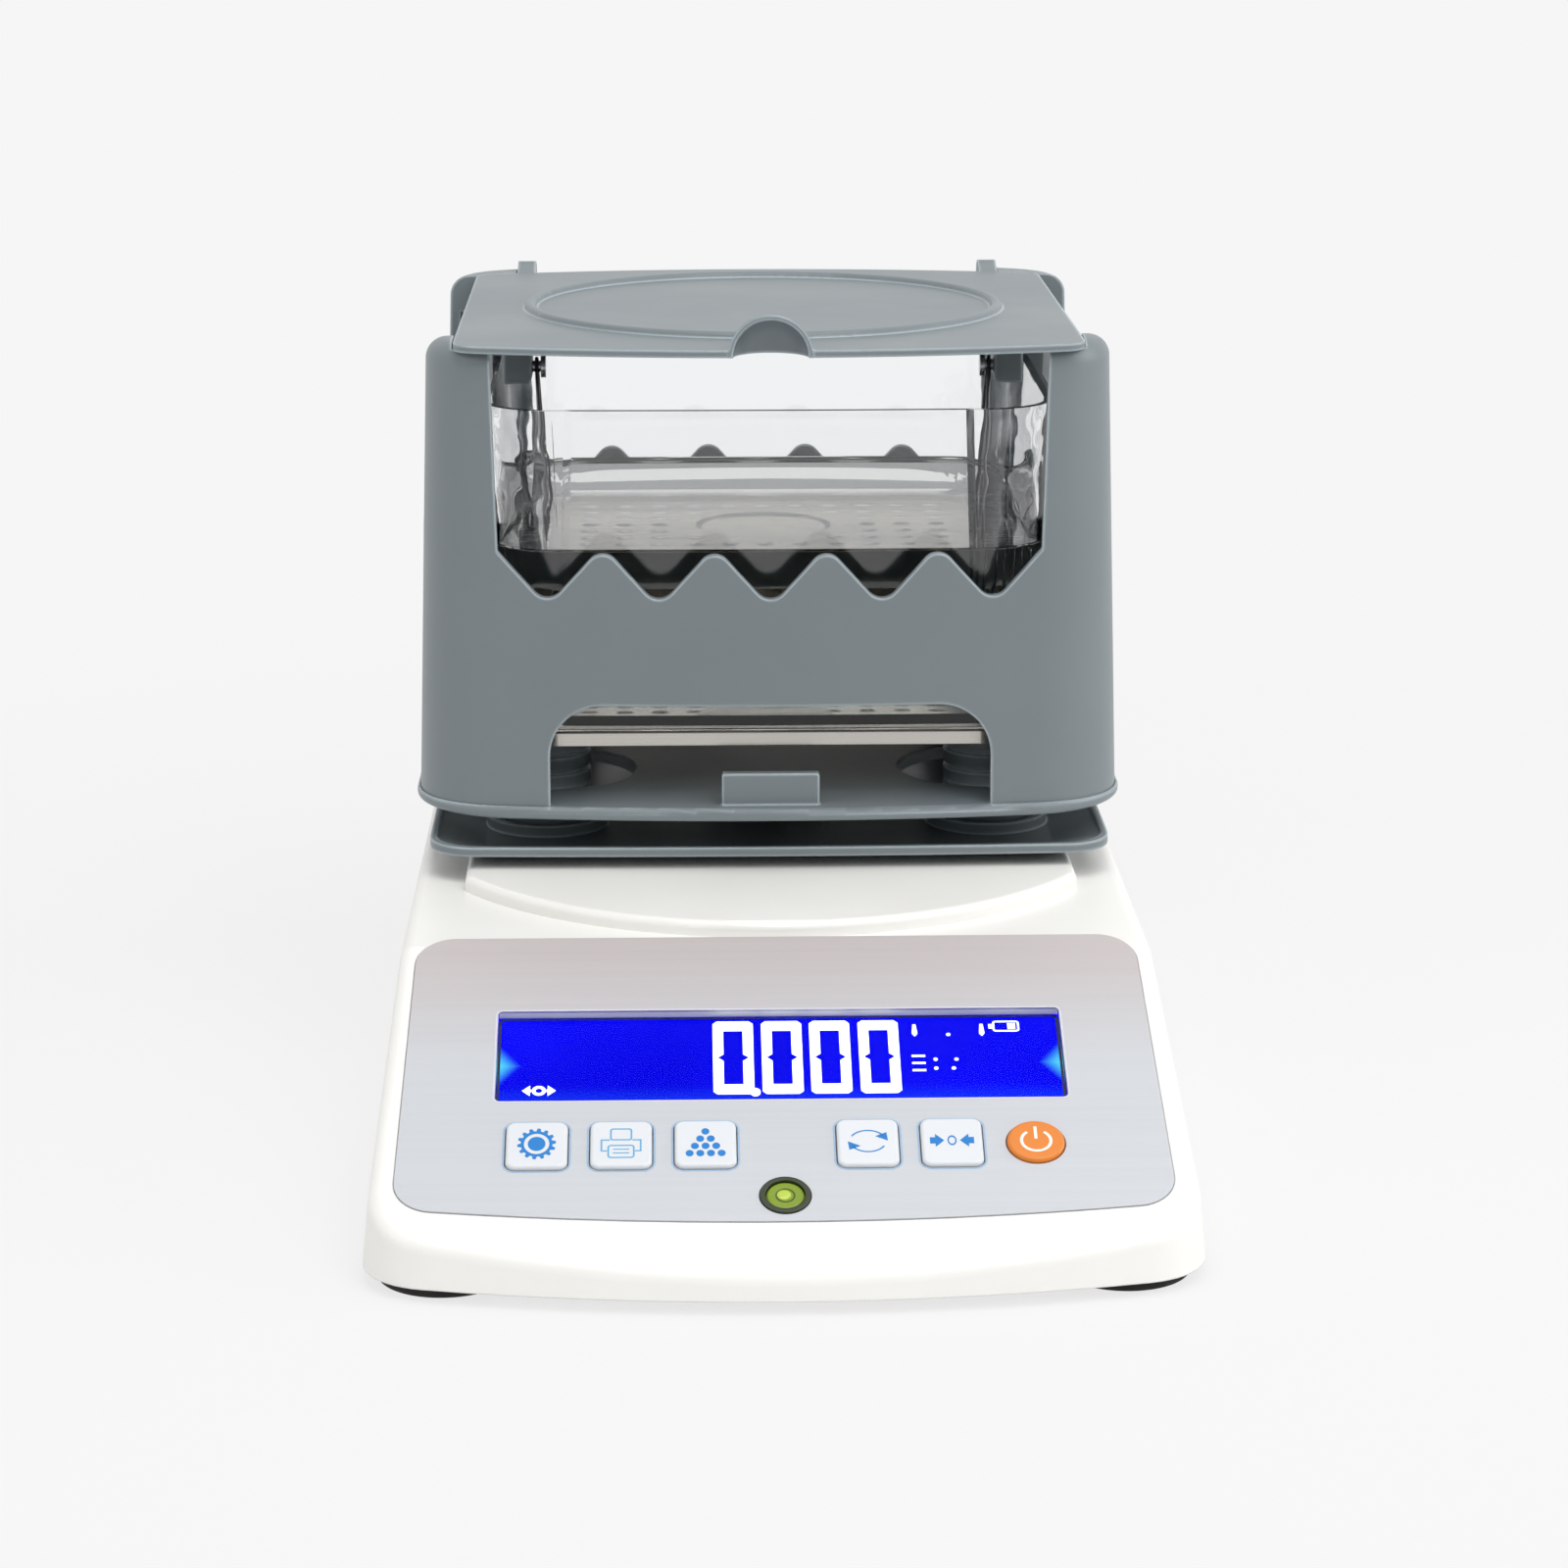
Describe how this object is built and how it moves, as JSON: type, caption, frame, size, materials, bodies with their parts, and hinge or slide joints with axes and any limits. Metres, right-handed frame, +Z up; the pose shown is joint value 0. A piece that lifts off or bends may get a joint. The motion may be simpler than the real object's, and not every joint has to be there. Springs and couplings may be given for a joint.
{
  "type": "benchtop density meter",
  "caption": "Benchtop density meter: balance body with sloped key panel, drip tray, hinged-lid weighing frame with zigzag windows, water tank and hanging basket.",
  "frame": {"origin": "on the table, under the middle of the balance body", "axes": "+X right, +Y to the rear, +Z up, key panel towards -Y"},
  "size_m": [0.205, 0.36, 0.2154],
  "materials": {
    "white_abs": "satin moulded",
    "silver_label": "brushed silver film",
    "clear_window": "clear",
    "display_blue": "backlit blue",
    "board_green": "solder mask",
    "switch_black": "matt",
    "key_pale": "satin",
    "key_orange": "satin",
    "level_ring": "gloss",
    "level_green": "clear tinted",
    "aluminium": "machined",
    "steel_screw": "zinc plated",
    "stainless": "polished",
    "brass": "turned",
    "rubber_black": "matt",
    "battery_case": "matt",
    "socket_black": "matt",
    "grey_abs": "satin moulded",
    "clear_tank": "clear"
  },
  "bodies": {
    "body": {"base_shell": "white_abs", "top_housing": "white_abs", "panel_overlay": "silver_label", "display_window": "clear_window", "lcd_module": "display_blue", "key_board": "board_green", "tact_switches": "switch_black", "main_board": "board_green", "level_cup": "level_ring", "level_vial": "level_green", "load_cell": "aluminium", "load_cell_block": "aluminium", "load_cell_screws": "steel_screw", "battery_pack": "battery_case", "battery_clamp": "steel_screw", "power_jack": "socket_black", "serial_port": "socket_black", "housing_screws": "steel_screw", "board_screws": "steel_screw", "foot_inserts": "brass", "drip_tray": "grey_abs", "post_screws": "steel_screw", "support_plate": "stainless", "water_tank": "clear_tank", "tank_post_front_left": "grey_abs", "tank_post_front_right": "grey_abs", "tank_post_rear_left": "grey_abs", "tank_post_rear_right": "grey_abs"},
    "weigh_stage": {"weigh_carrier": "aluminium", "weigh_hub": "aluminium", "base_plate": "grey_abs"},
    "frame_shell": {"shell": "grey_abs", "hinge_pins": "steel_screw", "basket_pegs": "steel_screw"},
    "lid": {"lid": "grey_abs"},
    "basket": {"basket": "stainless", "basket_hangers": "stainless"},
    "key_settings": {"key_settings": "key_pale"},
    "key_print": {"key_print": "key_pale"},
    "key_confirm": {"key_confirm": "key_pale"},
    "key_mode": {"key_mode": "key_pale"},
    "key_zero": {"key_zero": "key_pale"},
    "key_power": {"key_power": "key_orange"},
    "pad_front_left": {"foot_pad_front_left": "rubber_black"},
    "screw_front_left": {"foot_screw_front_left": "steel_screw"},
    "pad_front_right": {"foot_pad_front_right": "rubber_black"},
    "screw_front_right": {"foot_screw_front_right": "steel_screw"},
    "pad_rear_left": {"foot_pad_rear_left": "rubber_black"},
    "screw_rear_left": {"foot_screw_rear_left": "steel_screw"},
    "pad_rear_right": {"foot_pad_rear_right": "rubber_black"},
    "screw_rear_right": {"foot_screw_rear_right": "steel_screw"}
  },
  "joints": [
    {"name": "weigh_travel", "type": "slide", "parent": "body", "child": "weigh_stage", "axis": [0, 0, -1], "range_m": [0, 0.0003], "stiffness_N_per_m": 30000, "springref_m": -0.0003},
    {"name": "frame_lift", "type": "slide", "parent": "weigh_stage", "child": "frame_shell", "axis": [0, 0, 1], "range_m": [0, 0.12]},
    {"name": "lid_hinge", "type": "hinge", "parent": "frame_shell", "child": "lid", "pos_m": [0, 0.161, 0.203], "axis": [-1, 0, 0], "range_deg": [0, 105]},
    {"name": "basket_swing", "type": "hinge", "parent": "frame_shell", "child": "basket", "pos_m": [0, 0.0817, 0.188], "axis": [1, 0, 0], "range_deg": [-12, 12]},
    {"name": "key_settings_press", "type": "slide", "parent": "body", "child": "key_settings", "axis": [0, 0.4147, -0.91], "range_m": [0, 0.0004], "stiffness_N_per_m": 1200, "springref_m": -0.0004},
    {"name": "key_print_press", "type": "slide", "parent": "body", "child": "key_print", "axis": [0, 0.4147, -0.91], "range_m": [0, 0.0004], "stiffness_N_per_m": 1200, "springref_m": -0.0004},
    {"name": "key_confirm_press", "type": "slide", "parent": "body", "child": "key_confirm", "axis": [0, 0.4147, -0.91], "range_m": [0, 0.0004], "stiffness_N_per_m": 1200, "springref_m": -0.0004},
    {"name": "key_mode_press", "type": "slide", "parent": "body", "child": "key_mode", "axis": [0, 0.4147, -0.91], "range_m": [0, 0.0004], "stiffness_N_per_m": 1200, "springref_m": -0.0004},
    {"name": "key_zero_press", "type": "slide", "parent": "body", "child": "key_zero", "axis": [0, 0.4147, -0.91], "range_m": [0, 0.0004], "stiffness_N_per_m": 1200, "springref_m": -0.0004},
    {"name": "key_power_press", "type": "slide", "parent": "body", "child": "key_power", "axis": [0, 0.4147, -0.91], "range_m": [0, 0.0004], "stiffness_N_per_m": 1200, "springref_m": -0.0004},
    {"name": "foot_travel_front_left", "type": "slide", "parent": "body", "child": "pad_front_left", "axis": [0, 0, -1], "range_m": [0, 0.005]},
    {"name": "foot_turn_front_left", "type": "hinge", "parent": "pad_front_left", "child": "screw_front_left", "pos_m": [-0.0825, -0.15014, 0.006], "axis": [0, 0, 1], "range_deg": [0, 1440]},
    {"name": "foot_travel_front_right", "type": "slide", "parent": "body", "child": "pad_front_right", "axis": [0, 0, -1], "range_m": [0, 0.005]},
    {"name": "foot_turn_front_right", "type": "hinge", "parent": "pad_front_right", "child": "screw_front_right", "pos_m": [0.0825, -0.15014, 0.006], "axis": [0, 0, 1], "range_deg": [0, 1440]},
    {"name": "foot_travel_rear_left", "type": "slide", "parent": "body", "child": "pad_rear_left", "axis": [0, 0, -1], "range_m": [0, 0.005]},
    {"name": "foot_turn_rear_left", "type": "hinge", "parent": "pad_rear_left", "child": "screw_rear_left", "pos_m": [-0.0825, 0.15753, 0.006], "axis": [0, 0, 1], "range_deg": [0, 1440]},
    {"name": "foot_travel_rear_right", "type": "slide", "parent": "body", "child": "pad_rear_right", "axis": [0, 0, -1], "range_m": [0, 0.005]},
    {"name": "foot_turn_rear_right", "type": "hinge", "parent": "pad_rear_right", "child": "screw_rear_right", "pos_m": [0.0825, 0.15753, 0.006], "axis": [0, 0, 1], "range_deg": [0, 1440]}
  ],
  "couplings": [
    {"joint": "foot_turn_front_left", "follows": "foot_travel_front_left", "rad_per_m": 5026.5},
    {"joint": "foot_turn_front_right", "follows": "foot_travel_front_right", "rad_per_m": 5026.5},
    {"joint": "foot_turn_rear_left", "follows": "foot_travel_rear_left", "rad_per_m": 5026.5},
    {"joint": "foot_turn_rear_right", "follows": "foot_travel_rear_right", "rad_per_m": 5026.5}
  ]
}
